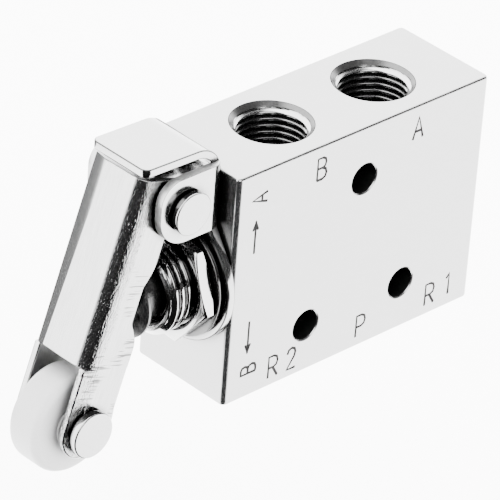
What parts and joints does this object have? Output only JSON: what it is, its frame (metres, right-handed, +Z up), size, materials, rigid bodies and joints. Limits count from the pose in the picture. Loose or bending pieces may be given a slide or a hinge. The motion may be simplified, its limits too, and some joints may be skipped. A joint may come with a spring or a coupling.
{
  "type": "roller lever air valve",
  "caption": "Compact metal block valve with threaded air ports, worked by a bent sheet lever with a white plastic roller and returned by an internal spring.",
  "frame": {"origin": "centre of the valve body's back face, the face that lies against a machine", "axes": "+X along the valve body away from the lever, +Y out of the back face, +Z up towards the two outlet ports"},
  "size_m": [0.0677, 0.0175, 0.0404],
  "materials": {
    "body_metal": "fine brushed",
    "nickel": "bright nickel plate",
    "pin_steel": "turned",
    "roller_plastic": "moulded white",
    "seal_rubber": "smooth",
    "spacer_metal": "turned",
    "spring_steel": "drawn wire"
  },
  "bodies": {
    "housing": {"valve_body": "body_metal", "nose_bushing": "nickel", "end_plug": "nickel", "hex_nut": "nickel", "lock_washer": "nickel", "bracket": "nickel", "pivot_pin": "pin_steel", "pivot_sleeve": "pin_steel", "spool_seal_1": "seal_rubber", "spool_seal_2": "seal_rubber", "spool_seal_3": "seal_rubber", "spool_seal_4": "seal_rubber", "spool_seal_5": "seal_rubber", "spool_seal_6": "seal_rubber", "spacer_ring_1": "spacer_metal", "spacer_ring_2": "spacer_metal", "spacer_ring_3": "spacer_metal", "spacer_ring_4": "spacer_metal", "spacer_ring_5": "spacer_metal", "return_spring": "spring_steel"},
    "lever_arm": {"lever": "nickel", "roller_pin": "pin_steel"},
    "roller_wheel": {"roller": "roller_plastic"},
    "plunger_rod": {"plunger": "nickel", "plunger_seal": "seal_rubber"},
    "spool_rod": {"spool": "pin_steel"}
  },
  "joints": [
    {"name": "lever_swing", "type": "hinge", "parent": "housing", "child": "lever_arm", "pos_m": [-0.02715, -0.00775, 0.01315], "axis": [0, -1, 0], "range_deg": [0, 11], "stiffness_Nm_per_rad": 0.3, "springref_deg": -17.19},
    {"name": "roller_spin", "type": "hinge", "parent": "lever_arm", "child": "roller_wheel", "pos_m": [-0.04009, -0.00775, -0.01348], "axis": [0, 1, 0], "continuous": true},
    {"name": "plunger_slide", "type": "slide", "parent": "housing", "child": "plunger_rod", "axis": [1, 0, 0], "range_m": [0, 0.00231]},
    {"name": "spool_slide", "type": "slide", "parent": "housing", "child": "spool_rod", "axis": [1, 0, 0], "range_m": [0, 0.00231], "deforming": ["return_spring"]}
  ],
  "couplings": [
    {"joint": "plunger_slide", "follows": "lever_swing", "m_per_rad": 0.012},
    {"joint": "spool_slide", "follows": "lever_swing", "m_per_rad": 0.012}
  ]
}
